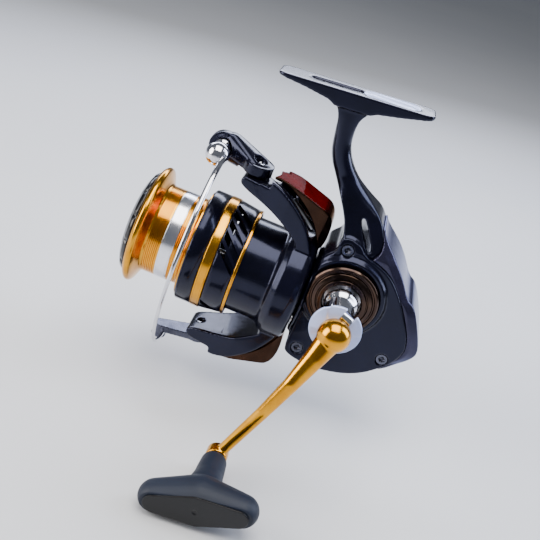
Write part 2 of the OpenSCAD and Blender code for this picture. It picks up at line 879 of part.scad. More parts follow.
module rotor() {
    color(black) in_reel_frame() {
        turned_y([
            [rotor_collar_r - rotor_wall, rotor_front_y], [rotor_collar_r, rotor_front_y],
            [rotor_collar_r, -3.6], [22.6, -2], [rotor_rim_r, 0.5], [rotor_rim_r, 6.5],
            [rotor_rim_r - 0.6, 8.8], [rotor_rim_r - 2, rotor_back_y],
            [rotor_rim_r - 3.4, rotor_back_y], [rotor_rim_r - 3.4, 0.6], [18.8, -1.4],
            [7, -1.4], [7, -0.4], [pinion_journal_r, -0.4], [pinion_journal_r, -9.1],
            [7, -9.1], [7, -5], [rotor_collar_r - rotor_wall, -5]
        ]);
        difference() {
            rotor_arm();
            lever_sweep();
        }
        rotate([0, 180, 0]) rotor_arm();
    }
}

// Part of a ring about the bail's pivot, from the nose round to the left
module pivot_sector(r0, r1, z0, turn) {
    translate([0, pivot_y, z0]) rotate([0, 0, -90 - turn]) rotate_extrude(angle = turn)
        translate([r0, 0]) square([r1 - r0, 20]);
}

// Room that the bail lever needs as it flips
module lever_sweep() {
    pivot_sector(8, 25.6, 36, bail_flip_turn + 40);
    pivot_sector(7.3, 13.5, 36.01, bail_flip_turn + 64);
    bar_z(9.6, seat_z - 0.7, 60, 0, pivot_y);
}

module pinion() {
    color("darkgoldenrod") in_reel_frame() difference() {
        union() {
            bar_y(pinion_journal_r, -13, 15.6);
            bar_y(3, 27, 30.8);
            translate([0, 15.5, 0]) rotate([-90, 0, 0]) linear_extrude(11.8) union() {
                circle(3.5);
                for (i = [0 : pinion_teeth - 1])
                    rotate(360 * i / pinion_teeth)
                        polygon([[3, -0.9], [pinion_r, -0.35], [pinion_r, 0.35], [3, 0.9]]);
            }
        }
        bar_y(shaft_r + run_gap, -20, 40);
    }
}

module clutch_sleeve() {
    color(steel) in_reel_frame() ring_y(6, pinion_journal_r, 0, 8.4);
}

module rotor_nut() {
    color(steel) in_reel_frame() difference() {
        translate([0, -12.6, 0]) rotate([-90, 0, 0]) cylinder(h = 3.4, r = 7, $fn = 6);
        bar_y(pinion_journal_r, -20, 0);
    }
}

module bail_arm_cover() {
    color("#2a2020") in_reel_frame() difference() {
        cover_shell();
        lever_sweep();
    }
}

module counter_arm_cover() {
    color("#2a2020") in_reel_frame() rotate([0, 180, 0]) cover_shell();
}

module cover_shell() {
    intersection() {
        plate_x(-cover_half_w, cover_half_w) polygon(smooth(cover_outline));
        translate([0, 0, 10]) linear_extrude(40)
            polygon([
                [-5.6, -17.4], [5.6, -17.4], [cover_half_w, -8], [cover_half_w, 8], [5.6, 11.4],
                [-5.6, 11.4], [-cover_half_w, 8], [-cover_half_w, -8]
            ]);
    }
}

module bail_spring() {
    color(steel) in_reel_frame() translate([4.4, 0, 31.4]) rotate([-34, 0, 0])
        difference() {
            bar_y(1.7, -9, 5);
            bar_y(1.1, -10, 6);
        }
}

module trip_lever() {
    color("#555b66") in_reel_frame() {
        translate([-5.6, -6, 33.6]) rotate([-36, 0, 0]) cube([2.4, 11, 2.4]);
        bar_x(1.6, -6.2, -2.8, -5.4, 35);
    }
}

module pivot_screws() {
    color(steel) in_reel_frame() for (a = [0, 180]) rotate([0, a, 0])
        difference() {
            union() {
                bar_z(1.5, 35.6, pivot_head_z + 0.1, 0, pivot_y);
                bar_z(pivot_head_r, pivot_head_z, pivot_head_z + 1, 0, pivot_y);
            }
            translate([-2, pivot_y - 0.35, pivot_head_z + 0.6]) cube([4, 0.7, 1]);
        }
}

// ---- bail ----
module bail_lever() {
    color(black) in_reel_frame() difference() {
        union() {
            bar_z(6.2, seat_z, 44.6, 0, pivot_y);
            hull() {
                bar_z(5.6, seat_z, 44.6, -0.6, pivot_y, $fn = hull_fn);
                bar_x(6, -8.6, -5.4, roller_y + 3, lever_z + 0.6, $fn = hull_fn);
            }
            bar_x(6.3, -8.6, -4.6, roller_y, lever_z);
        }
        translate([-20, pivot_y - 8, seat_z - 20]) cube([40, 40, 20]);
        bar_z(1.5 + run_gap, 30, 60, 0, pivot_y);
        bar_z(pivot_head_r + free_gap, pivot_head_z - 0.1, 60, 0, pivot_y);
        bar_x(1.4, -7, 0, roller_y, lever_z);
        bar_x(roller_r + 0.6, -4.7, 4, roller_y, lever_z);
    }
}

module roller_bush() {
    color("darkgoldenrod") in_reel_frame() bar_x(1.4, -7, 3.5, roller_y, lever_z);
}

module line_roller() {
    color("gainsboro") in_reel_frame() translate([0, roller_y, lever_z]) difference() {
        turned_x([
            [1.4 + run_gap, -4.2], [roller_r, -4.2], [roller_r, -3.4], [roller_r - 1.1, -2],
            [roller_r - 1.1, -1], [roller_r, 0.4], [roller_r, 0.9], [1.4 + run_gap, 0.9]
        ]);
    }
}

bow_half_turn = 85;
socket_half_turn = bow_half_turn + 0.1;

module bail_cap() {
    cap_r = 4.9;
    cap_x = 5.2;
    flat = acos((1.2 - cap_x) / cap_r);
    color("gainsboro") in_reel_frame() difference() {
        translate([0, roller_y, lever_z]) union() {
            turned_x(concat(
                [[0, 3.5], [1.4, 3.5], [1.4, 1.2]],
                [for (i = [0 : 12]) let (a = flat * (1 - i / 12))
                    [cap_r * sin(a), cap_x + cap_r * cos(a)]]
            ));
            hull() {
                translate([4.1, 1.6, 2]) sphere(r = 2, $fn = hull_fn);
                translate([3.6, wire_y - roller_y, 1.6]) sphere(r = 1.2, $fn = hull_fn);
            }
        }
        bail_bow(wire_r + 0.03, socket_half_turn);
        bar_x(1.41, 0, 3.51, roller_y, lever_z);
    }
}

// Part of a ring in the bail's plane, half_turn to either side of +X
module bail_bow(r, half_turn) {
    translate([0, wire_y, 0]) rotate([-90, 0, 0])
        rotate([0, 0, -half_turn]) rotate_extrude(angle = 2 * half_turn)
            translate([bail_r, 0]) circle(r = r);
}

module bail_wire() {
    color("gainsboro") in_reel_frame() bail_bow(wire_r, bow_half_turn);
}

wire_end_y = wire_y - 2.1;

module counter_lever() {
    z0 = -46.4;
    color("#555b66") in_reel_frame() difference() {
        union() {
            bar_z(5.4, -43.2, -seat_z, 0, pivot_y);
            hull() {
                bar_z(4.6, -43.2, -seat_z, 0, pivot_y, $fn = hull_fn);
                bar_z(3.2, -43.2, -seat_z, 5, wire_end_y, $fn = hull_fn);
            }
            bar_z(3.2, z0, -seat_z, 5, wire_end_y);
        }
        bar_z(1.5 + run_gap, -60, -30, 0, pivot_y);
        bar_z(pivot_head_r + free_gap, -60, 0.1 - pivot_head_z, 0, pivot_y);
        bar_z(1.2, z0 - 1, z0 + 5, 5, wire_end_y);
        bail_bow(wire_r + 0.03, socket_half_turn);
    }
}

module wire_screw() {
    color(steel) in_reel_frame() translate([5, wire_end_y, 0]) difference() {
        union() {
            bar_z(1.18, -46.4, -42);
            bar_z(2.4, -47.6, -46.4);
        }
        for (a = [0, 90]) rotate([0, 0, a]) translate([-1.6, -0.35, -48]) cube([3.2, 0.7, 0.9]);
    }
}

body_frame();
foot_inlay();
side_cover();
rear_guard();
boss_ring();
body_screws();
guard_screw();
drive_bearings();
pinion_bearing();
clutch_housing();
clutch_screws();
pinion_bush();
guide_rod();
drive_gear();
drive_shaft();
handle_post();
handle_lock_cap();
handle_arm();
joint_disc();
fold_pin();
knob_shaft();
knob_retainer();
knob();
knob_cap();
oscillation_gear();
main_shaft();
oscillation_slider();
slider_screw();
spool_support();
keyed_washers();
spool();
spool_skirt();
skirt_ring();
skirt_rear_ring();
barrel_band();
line_clip();
spool_bush();
felt_washers();
eared_washers();
washer_retainer();
drag_knob();
drag_nut();
drag_spring();
rotor();
pinion();
clutch_sleeve();
rotor_nut();
bail_arm_cover();
counter_arm_cover();
bail_spring();
trip_lever();
pivot_screws();
bail_lever();
bail_wire();
bail_cap();
counter_lever();
wire_screw();
roller_bush();
line_roller();
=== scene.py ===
"""Looks of a spinning reel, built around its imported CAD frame.

Two frames are used. The row frame is the CAD's: origin on the foot's seat, +Z up to the rod, metres.
The reel frame has the main shaft as its Y axis and is in millimetres: REEL takes it to the row frame.
"""
import json
import math

import bmesh
import bpy
from mathutils import Matrix, Vector

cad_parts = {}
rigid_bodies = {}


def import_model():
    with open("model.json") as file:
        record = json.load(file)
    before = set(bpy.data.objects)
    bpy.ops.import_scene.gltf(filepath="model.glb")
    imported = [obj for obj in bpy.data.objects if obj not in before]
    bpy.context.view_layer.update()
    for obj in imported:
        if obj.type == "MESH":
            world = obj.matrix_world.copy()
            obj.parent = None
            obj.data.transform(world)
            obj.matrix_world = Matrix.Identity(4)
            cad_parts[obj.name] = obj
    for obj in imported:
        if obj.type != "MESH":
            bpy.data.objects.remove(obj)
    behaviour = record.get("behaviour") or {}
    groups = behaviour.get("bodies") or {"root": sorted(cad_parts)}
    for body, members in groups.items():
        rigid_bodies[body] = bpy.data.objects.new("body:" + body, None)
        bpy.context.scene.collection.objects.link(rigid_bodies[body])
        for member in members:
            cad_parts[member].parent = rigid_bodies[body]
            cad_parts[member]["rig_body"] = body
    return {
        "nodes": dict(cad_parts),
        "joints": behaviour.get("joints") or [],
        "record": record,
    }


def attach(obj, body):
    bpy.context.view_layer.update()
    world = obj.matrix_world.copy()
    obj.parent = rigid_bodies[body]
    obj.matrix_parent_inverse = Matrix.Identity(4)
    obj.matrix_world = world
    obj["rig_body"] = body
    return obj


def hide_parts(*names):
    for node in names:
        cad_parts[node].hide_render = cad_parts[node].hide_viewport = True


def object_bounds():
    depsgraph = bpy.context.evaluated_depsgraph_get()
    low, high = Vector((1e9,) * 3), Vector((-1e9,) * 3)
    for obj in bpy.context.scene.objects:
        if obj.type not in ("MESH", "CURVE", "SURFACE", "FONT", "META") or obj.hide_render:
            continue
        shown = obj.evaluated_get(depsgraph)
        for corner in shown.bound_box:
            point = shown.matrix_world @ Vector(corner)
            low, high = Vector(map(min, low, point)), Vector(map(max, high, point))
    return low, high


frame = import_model()
cad_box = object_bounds()

MM = 0.001
PILLOW_PASSES = 16
WELD_DISTANCE = 0.002
MACHINED_SHARP_ANGLE = 30
LATHE_SHARP_ANGLE = 40
SWEEP_SHARP_ANGLE = 50
JOINTS = {joint["name"]: joint for joint in frame["joints"]}
NODES = frame["nodes"]


# ---------------------------------------------------------------- frames
def frame_matrix(origin, x_axis, y_axis):
    """Row frame from a millimetre frame with this origin and these axes."""
    z_axis = x_axis.cross(y_axis)
    turn = Matrix((x_axis, y_axis, z_axis)).transposed().to_4x4()
    return Matrix.Translation(origin) @ turn @ Matrix.Scale(MM, 4)


SHAFT_AXIS = Vector(JOINTS["rotor_spin"]["axis"]).normalized()
SIDE_AXIS = Vector((1, 0, 0))
REEL = frame_matrix(Vector(JOINTS["rotor_spin"]["pos_m"]), SIDE_AXIS, SHAFT_AXIS)
TO_REEL = REEL.inverted()


def reel_box(node):
    """Lowest and highest corners of a CAD node in the reel frame, in millimetres."""
    points = [TO_REEL @ vertex.co for vertex in NODES[node].data.vertices]
    low = Vector([min(point[i] for point in points) for i in range(3)])
    high = Vector([max(point[i] for point in points) for i in range(3)])
    return low, high


def joint_point(name):
    """A joint's place in the reel frame."""
    return TO_REEL @ Vector(JOINTS[name]["pos_m"])


# ---------------------------------------------------------------- materials
def new_material(name):
    """A node material with its nodes, its links and its main shader."""
    material = bpy.data.materials.new(name)
    material.use_nodes = True
    nodes = material.node_tree.nodes
    return material, nodes, material.node_tree.links, nodes["Principled BSDF"]


def surface_coordinates(nodes, links):
    """Object coordinates turned so that Y runs along the main shaft, in millimetres."""
    place = nodes.new("ShaderNodeTexCoord")
    mapping = nodes.new("ShaderNodeMapping")
    mapping.inputs["Rotation"].default_value = (-math.asin(SHAFT_AXIS.z), 0, 0)
    mapping.inputs["Scale"].default_value = (1 / MM, 1 / MM, 1 / MM)
    links.new(place.outputs["Object"], mapping.inputs["Vector"])
    return mapping.outputs["Vector"]


def noise(nodes, links, where, scale, detail=3, roughness=0.55):
    """Noise over a surface, 0..1; a larger scale makes it finer."""
    texture = nodes.new("ShaderNodeTexNoise")
    texture.inputs["Scale"].default_value = scale
    texture.inputs["Detail"].default_value = detail
    texture.inputs["Roughness"].default_value = roughness
    links.new(where, texture.inputs["Vector"])
    return texture.outputs["Fac"]


def spread(nodes, links, value, low, high, start=0.3, end=0.7):
    """Maps the start..end stretch of a texture onto low..high."""
    spreader = nodes.new("ShaderNodeMapRange")
    spreader.inputs["From Min"].default_value = start
    spreader.inputs["From Max"].default_value = end
    spreader.inputs["To Min"].default_value = low
    spreader.inputs["To Max"].default_value = high
    links.new(value, spreader.inputs["Value"])
    return spreader.outputs["Result"]


def mix_colour(nodes, links, factor, first, second):
    """First where the factor is 0, second where it is 1; each a colour or a socket."""
    mix = nodes.new("ShaderNodeMix")
    mix.data_type = "RGBA"
    links.new(factor, mix.inputs["Factor"])
    for socket, colour in ((mix.inputs["A"], first), (mix.inputs["B"], second)):
        if isinstance(colour, tuple):
            socket.default_value = (*colour, 1)
        else:
            links.new(colour, socket)
    return mix.outputs["Result"]


def bump(nodes, links, height, shader, depth_mm, strength=1.0):
    """Raises the shader's surface where the height is greater."""
    node = nodes.new("ShaderNodeBump")
    node.inputs["Strength"].default_value = strength
    node.inputs["Distance"].default_value = depth_mm * MM
    links.new(height, node.inputs["Height"])
    links.new(node.outputs["Normal"], shader.inputs["Normal"])


def painted_edge_highlight(nodes, links, amount):
    """Mask of a painted highlight: 0 on flats, up to 1 where the surface turns a sharp edge."""
    geometry = nodes.new("ShaderNodeNewGeometry")
    return spread(nodes, links, geometry.outputs["Pointiness"], 0, amount, 0.52, 0.62)


def band_height(nodes, links, where, axis, pitch_mm):
    """Fine parallel ridges across one axis of the reel frame."""
    split = nodes.new("ShaderNodeSeparateXYZ")
    links.new(where, split.inputs["Vector"])
    scale = nodes.new("ShaderNodeMath")
    scale.operation = "MULTIPLY"
    scale.inputs[1].default_value = math.tau / pitch_mm
    links.new(split.outputs[axis], scale.inputs[0])
    wave = nodes.new("ShaderNodeMath")
    wave.operation = "SINE"
    links.new(scale.outputs["Value"], wave.inputs[0])
    return wave.outputs["Value"]


def add(nodes, links, first, second, share):
    """First plus a share of second."""
    node = nodes.new("ShaderNodeMath")
    node.operation = "MULTIPLY_ADD"
    node.inputs[1].default_value = share
    links.new(second, node.inputs[0])
    links.new(first, node.inputs[2])
    return node.outputs["Value"]


def lacquer(name, base, deep, roughness, coat, tint, metallic=0.0):
    """Gloss paint: a deep base with a faint cloud and fine flake under a clear coat."""
    material, nodes, links, shader = new_material(name)
    where = surface_coordinates(nodes, links)
    cloud = noise(nodes, links, where, 0.08, 3)
    flake = noise(nodes, links, where, 7, 2, 0.8)
    colour = mix_colour(nodes, links, spread(nodes, links, cloud, 0, 1), base, deep)
    pale = tuple(min(1, 0.01 + 1.8 * part) for part in base)
    glitter = spread(nodes, links, flake, 0, 0.35, 0.64, 0.8)
    colour = mix_colour(nodes, links, glitter, colour, pale)
    links.new(colour, shader.inputs["Base Color"])
    shader.inputs["Metallic"].default_value = metallic
    shader.inputs["Specular Tint"].default_value = (*tint, 1)
    shader.inputs["Specular IOR Level"].default_value = 0.32
    shader.inputs["Coat Weight"].default_value = coat
    shader.inputs["Coat Roughness"].default_value = 0.03
    shader.inputs["Coat IOR"].default_value = 1.5
    smudge = noise(nodes, links, where, 0.35, 4)
    links.new(spread(nodes, links, smudge, roughness, roughness + 0.08), shader.inputs["Roughness"])
    peel = noise(nodes, links, where, 0.9, 1)
    bump(nodes, links, peel, shader, 0.008, 0.3)
    return material


def turned_metal(name, base, deep, roughness, pitch_mm, line_depth, axis="Y", metallic=1.0):
    """Metal turned on a lathe: fine ridges across one axis, with tarnish and soft stains, and a painted
    highlight along sharp edges.
    """
    material, nodes, links, shader = new_material(name)
    where = surface_coordinates(nodes, links)
    cloud = noise(nodes, links, where, 0.15, 3)
    colour = mix_colour(nodes, links, spread(nodes, links, cloud, 0, 1), base, deep)
    # Paler metal laid on sharp edges as a painted highlight.
    pale = tuple(min(1, 1.15 * part + 0.03) for part in base)
    colour = mix_colour(nodes, links, painted_edge_highlight(nodes, links, 0.5), colour, pale)
    links.new(colour, shader.inputs["Base Color"])
    shader.inputs["Metallic"].default_value = metallic
    smudge = noise(nodes, links, where, 0.4, 4)
    links.new(spread(nodes, links, smudge, roughness, roughness + 0.07), shader.inputs["Roughness"])
    ridges = band_height(nodes, links, where, axis, pitch_mm)
    grain = noise(nodes, links, where, 2.5, 2)
    bump(nodes, links, add(nodes, links, ridges, grain, 0.6), shader, line_depth, 0.5)
    return material


def moulded_plastic(name, base, roughness, grain_scale, grain_depth, coat=0.0):
    """Moulded plastic or rubber with a fine grain and slightly paler edges, a painted highlight."""
    material, nodes, links, shader = new_material(name)
    where = surface_coordinates(nodes, links)
    cloud = noise(nodes, links, where, 0.1, 3)
    deep = tuple(0.75 * part for part in base)
    colour = mix_colour(nodes, links, spread(nodes, links, cloud, 0, 1), base, deep)
    # Paler colour on sharp edges: a painted highlight.
    pale = tuple(min(1, 1.3 * part + 0.004) for part in base)
    colour = mix_colour(nodes, links, painted_edge_highlight(nodes, links, 0.3), colour, pale)
    links.new(colour, shader.inputs["Base Color"])
    shader.inputs["Specular IOR Level"].default_value = 0.35
    shader.inputs["Coat Weight"].default_value = coat
    shader.inputs["Coat Roughness"].default_value = 0.08
    grain = noise(nodes, links, where, grain_scale, 3, 0.7)
    links.new(spread(nodes, links, grain, roughness, roughness + 0.1), shader.inputs["Roughness"])
    bump(nodes, links, grain, shader, grain_depth, 0.5)
    return material


def pressed_felt(name, base):
    """Pressed fibre with a soft sheen."""
    material, nodes, links, shader = new_material(name)
    where = surface_coordinates(nodes, links)
    fibres = noise(nodes, links, where, 4.5, 8, 0.75)
    deep = tuple(0.6 * part for part in base)
    colour = mix_colour(nodes, links, spread(nodes, links, fibres, 0, 1), deep, base)
    links.new(colour, shader.inputs["Base Color"])
    shader.inputs["Roughness"].default_value = 0.95
    shader.inputs["Sheen Weight"].default_value = 0.4
    bump(nodes, links, fibres, shader, 0.12)
    return material


NIGHT_BLUE = (0.5, 0.56, 1.0)
WARM_BROWN = (0.5, 0.34, 0.24)
MATERIALS = {
    "gloss_black": lacquer(
        "black_lacquer", (0.0015, 0.0015, 0.003), (0.003, 0.003, 0.009), 0.16, 0.14, NIGHT_BLUE,
    ),
    "gunmetal": lacquer(
        "gunmetal_lacquer", (0.016, 0.015, 0.03), (0.035, 0.033, 0.07), 0.17, 0.3, NIGHT_BLUE, 0.6,
    ),
    "bronze": turned_metal(
        "turned_bronze", (0.075, 0.047, 0.034), (0.03, 0.021, 0.021), 0.15, 0.5, 0.006, "X",
    ),
    "brown_gloss": lacquer(
        "brown_lacquer", (0.05, 0.024, 0.014), (0.015, 0.008, 0.006), 0.2, 0.05, WARM_BROWN, 1.0,
    ),
    "gold": turned_metal("gold_anodised", (0.78, 0.37, 0.02), (0.6, 0.25, 0.011), 0.15, 0.35, 0.003),
    "bright": turned_metal("polished_chrome", (0.82, 0.82, 0.85), (0.62, 0.62, 0.68), 0.07, 0.45, 0.002),
    "machined_steel": turned_metal(
        "machined_steel", (0.5, 0.5, 0.53), (0.34, 0.34, 0.38), 0.25, 0.4, 0.01, "X",
    ),
    "brass": turned_metal("machined_brass", (0.76, 0.55, 0.24), (0.6, 0.41, 0.16), 0.28, 0.4, 0.01),
    "zinc_gear": turned_metal("cast_gear", (0.6, 0.55, 0.45), (0.45, 0.41, 0.34), 0.36, 0.8, 0.02, "X"),
    "satin_disc": turned_metal("satin_disc", (0.5, 0.58, 0.9), (0.4, 0.48, 0.8), 0.3, 0.3, 0.005, "X", 0.3),
    "rubber_grip": moulded_plastic("rubber_grip", (0.007, 0.012, 0.027), 0.5, 5, 0.015),
    "grip_trim": moulded_plastic("grip_trim", (0.0015, 0.0015, 0.0025), 0.3, 4, 0.004),
    "black_plastic": moulded_plastic("black_plastic", (0.002, 0.002, 0.004), 0.2, 5, 0.002, 0.3),
    # The casting's own dark grey, taken darker still so the cover screws look shaded: partly painted shade.
    "grey_metal": turned_metal("grey_casting", (0.1, 0.105, 0.14), (0.05, 0.052, 0.075), 0.24, 0.9, 0.006),
    "silver_band": turned_metal("silver_band", (0.86, 0.87, 0.93), (0.72, 0.74, 0.82), 0.16, 0.3, 0.004),
    "felt": pressed_felt("drag_felt", (0.5, 0.42, 0.3)),
}
SLOT_OF = {part["node"]: part["material_slot"] for part in frame["record"]["subparts"]}


def dress_cad_nodes():
    """Every CAD node gets its slot's finish."""
    for name, node in NODES.items():
        node.data.materials.clear()
        node.data.materials.append(MATERIALS[SLOT_OF[name]])


# ---------------------------------------------------------------- mesh helpers
def ramp(value, start, end):
    """0 before start, 1 after end, eased between them."""
    share = min(1, max(0, (value - start) / (end - start)))
    return share * share * (3 - 2 * share)


def link(name, mesh, slot, body, *stands_for):
    """Adds a visual piece that rides a body and stands for the named CAD nodes."""
    piece = bpy.data.objects.new(name, mesh)
    bpy.context.scene.collection.objects.link(piece)
    mesh.materials.clear()
    mesh.materials.append(MATERIALS[slot])
    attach(piece, body)
    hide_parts(*stands_for)
    return piece


def apply_modifiers(piece):
    """Replaces the piece's mesh by the same mesh with its modifiers applied."""
    graph = bpy.context.evaluated_depsgraph_get()
    mesh = bpy.data.meshes.new_from_object(piece.evaluated_get(graph))
    old = piece.data
    piece.modifiers.clear()
    piece.data = mesh
    bpy.data.meshes.remove(old)


def smooth_shade(mesh, angle=None):
    """Smooth shading, kept crisp at edges that turn by more than the angle in degrees."""
    mesh.shade_smooth()
    if angle is not None:
        mesh.set_sharp_from_angle(angle=math.radians(angle))


def moulded(node, name, voxel_mm, passes, keep=1.0, reshape=None, pillow=None):
    """A cast or moulded piece: the CAD node's form with its edges rounded off.

    pillow(point) gives 0..1 in the reel frame: how strongly that stretch is rounded again.
    """
    mesh = NODES[node].data.copy()
    body = NODES[node]["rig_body"]
    piece = link(name, mesh, SLOT_OF[node], body, node)
    remesh = piece.modifiers.new("remesh", "REMESH")
    remesh.mode = "VOXEL"
    remesh.voxel_size = voxel_mm * MM
    soften = piece.modifiers.new("soften", "SMOOTH")
    soften.factor = 0.5
    soften.iterations = passes
    apply_modifiers(piece)
    if reshape:
        for vertex in piece.data.vertices:
            vertex.co = REEL @ reshape(TO_REEL @ vertex.co)
    if pillow:
        group = piece.vertex_groups.new(name="pillow")
        for vertex in piece.data.vertices:
            weight = pillow(TO_REEL @ vertex.co)
            if weight > 0:
                group.add([vertex.index], weight, "REPLACE")
        again = piece.modifiers.new("round_again", "SMOOTH")
        again.factor = 0.5
        again.iterations = PILLOW_PASSES
        again.vertex_group = "pillow"
    if keep < 1:
        thin = piece.modifiers.new("thin", "DECIMATE")
        thin.ratio = keep
    apply_modifiers(piece)
    piece.vertex_groups.clear()
    smooth_shade(piece.data)


def machined(node):
    """A piece with crisp edges: the CAD node's exact form with its curved faces shaded smooth."""
    mesh = NODES[node].data.copy()
    piece = link(node + "_finished", mesh, SLOT_OF[node], NODES[node]["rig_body"], node)
    weld = piece.modifiers.new("weld", "WELD")
    weld.merge_threshold = WELD_DISTANCE * MM
    apply_modifiers(piece)
    smooth_shade(piece.data, MACHINED_SHARP_ANGLE)


def lathe(
    name, profile, node, centre=Vector(), axis="Y", steps=192, front_limit=None, flutes=None,
):
    """A turned piece that stands for a CAD node.

    Profile points are (radius, place along the axis), closed on themselves. Nothing is left in
    front of front_limit. flutes are (count, depth, radius they start at).
    """
    work = bmesh.new()
    rings = []
    for step in range(steps):
        turn = math.tau * step / steps
        ring = []
        for radius, along in profile:
            if flutes:
                flute_count, flute_depth, flute_start = flutes
                if radius > flute_start:
                    radius -= flute_depth * max(0, math.cos(flute_count * turn)) ** 6
            u, v = radius * math.cos(turn), radius * math.sin(turn)
            point = centre + (Vector((u, along, v)) if axis == "Y" else Vector((along, u, v)))
            if front_limit is not None:
                point.y = max(point.y, front_limit)
            ring.append(work.verts.new(REEL @ point))
        rings.append(ring)
    count = len(profile)
    for step in range(steps):
        here, there = rings[step], rings[(step + 1) % steps]
        for i in range(count):
            j = (i + 1) % count
            work.faces.new((here[i], here[j], there[j], there[i]))
    bmesh.ops.remove_doubles(work, verts=work.verts, dist=1e-7)
    bmesh.ops.recalc_face_normals(work, faces=work.faces)
    mesh = bpy.data.meshes.new(name)
    work.to_mesh(mesh)
    work.free()
    smooth_shade(mesh, LATHE_SHARP_ANGLE)
    link(name, mesh, SLOT_OF[node], NODES[node]["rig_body"], node)


def rounded(profile, radius, steps=4):
    """The profile with each corner replaced by a small arc, so that edges catch the light."""
    result = []
    count = len(profile)
    for i in range(count):
        before, here, after = (Vector(profile[(i + k) % count]) for k in (-1, 0, 1))
        back, ahead = before - here, after - here
        reach = min(radius, 0.45 * back.length, 0.45 * ahead.length)
        if back.length < 1e-6 or ahead.length < 1e-6 or abs(here.x) < 1e-6:
            result.append(tuple(here))
            continue
        start, end = here + back.normalized() * reach, here + ahead.normalized() * reach
        for step in range(steps + 1):
            t = step / steps
            result.append(tuple((1 - t) ** 2 * start + 2 * t * (1 - t) * here + t * t * end))
    return result


def sweep(name, stations, node, sides=24):
    """A bar along a path that stands for a CAD node.

    Stations are (centre, half width, half height, direction of the width) in the reel frame.
    """
    work = bmesh.new()
    rings = []
    count = len(stations)
    for i, (centre, half_w, half_h, across) in enumerate(stations):
        along = (stations[min(i + 1, count - 1)][0] - stations[max(i - 1, 0)][0]).normalized()
        wide = (across - along * across.dot(along)).normalized()
        high = along.cross(wide)
        ring = []
        for side in range(sides):
            turn = math.tau * side / sides
            offset = wide * (half_w * math.cos(turn)) + high * (half_h * math.sin(turn))
            ring.append(work.verts.new(REEL @ (centre + offset)))
        rings.append(ring)
    for here, there in zip(rings, rings[1:]):
        for side in range(sides):
            after = (side + 1) % sides
            work.faces.new((here[side], here[after], there[after], there[side]))
    work.faces.new(rings[0][::-1])
    work.faces.new(rings[-1])
    bmesh.ops.recalc_face_normals(work, faces=work.faces)
    mesh = bpy.data.meshes.new(name)
    work.to_mesh(mesh)
    work.free()
    smooth_shade(mesh, SWEEP_SHARP_ANGLE)
    link(name, mesh, SLOT_OF[node], NODES[node]["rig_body"], node)


# ---------------------------------------------------------------- body
def side_edges(node, low_z, high_z):
    """Front and rear edge of a CAD node at each whole millimetre of height."""
    points = [TO_REEL @ vertex.co for vertex in NODES[node].data.vertices]
    edges = {}
    for edge in NODES[node].data.edges:
        lower, upper = sorted((points[i] for i in edge.vertices), key=lambda point: point.z)
        first_level = max(low_z, math.ceil(lower.z))
        last_level = min(high_z, math.ceil(upper.z) - 1)
        for level in range(first_level, last_level + 1):
            y = lower.y + (upper.y - lower.y) * (level - lower.z) / (upper.z - lower.z)
            front, rear = edges.get(level, (y, y))
            edges[level] = (min(front, y), max(rear, y))
    return edges


def edges_at(edges, z):
    """Front and rear edge at any height, blended between the whole millimetres."""
    level = min(max(z, min(edges)), max(edges))
    below, above = edges[math.floor(level)], edges[math.ceil(level)]
    share = level - math.floor(level)
    return tuple(a + (b - a) * share for a, b in zip(below, above))


def round_stem(low_z, high_z):
    """Reshape that gives the stem's blade an oval section between two heights."""
    edges = side_edges("body_frame", low_z, high_z)
    fade_in, fade_out = 8, 15
    roundness, squareness, thinnest = 0.8, 2.4, 0.05

    def reshape(point):
        share = ramp(point.z, low_z, low_z + fade_in) * (1 - ramp(point.z, high_z - fade_out, high_z))
        if share <= 0:
            return point
        front, rear = edges_at(edges, point.z)
        across = (2 * point.y - front - rear) / (rear - front)
        oval = math.sqrt(max(thinnest, 1 - roundness * min(1, abs(across)) ** squareness))
        return Vector((point.x * (1 - share + share * oval), point.y, point.z))

    return reshape


def chamfer_guard(width, inset):
    """Reshape that bevels the guard's long edges along its rear face."""
    low, high = reel_box("rear_guard")
    middle, half_width = (low.x + high.x) / 2, (high.x - low.x) / 2
    edges = side_edges("rear_guard", math.ceil(low.z), math.floor(high.z))
    fade_in = 6

    def reshape(point):
        depth = edges_at(edges, point.z)[1] - point.y
        share = min(1, max(0, 1 - depth / width)) * ramp(point.z, low.z, low.z + fade_in)
        narrowed = (point.x - middle) * (1 - share * inset / half_width)
        return Vector((middle + narrowed, point.y, point.z))

    return reshape


def build_body():
    """Stem, housing, cover and guard, cast or moulded with soft edges."""
    stem_low, stem_high = 44, 80
    foot_start, foot_full = 72, 79
    bevel_width, bevel_inset = 4.0, 2.2
    moulded(
        "body_frame", "body_casting", 0.45, 4, 0.5, round_stem(stem_low, stem_high),
        lambda point: 1 - 0.8 * ramp(point.z, foot_start, foot_full),
    )
    moulded("side_cover", "side_cover_casting", 0.4, 3, 0.5)
    moulded(
        "rear_guard", "rear_guard_casting", 0.4, 2, 0.7, chamfer_guard(bevel_width, bevel_inset),
    )
    low, high = reel_box("boss_ring")
    axis_point = joint_point("handle_spin")
    centre = Vector((0, axis_point.y, axis_point.z))
    back, face, outer = low.x, high.x, high.y - centre.y
    bore = 7.6
    profile = rounded([
        (bore, back), (outer, back), (outer, face - 2.2), (outer - 0.7, face - 1.5),
        (outer - 1.5, face - 1.5), (outer - 1.7, face - 2.1), (outer - 2.3, face - 2.1),
        (outer - 2.6, face - 1.2), (10.6, face - 0.6), (10.4, face - 1.2), (9.9, face - 1.2),
        (9.7, face), (bore + 0.6, face), (bore, face - 0.6),
    ], 0.2)
    lathe("boss_ring_turned", profile, "boss_ring", centre, "X", front_limit=low.y)


# ---------------------------------------------------------------- spool
BAND_THICKNESS = {"skirt_ring": 0.8, "skirt_rear_ring": 0.6, "barrel_band": 0.12}


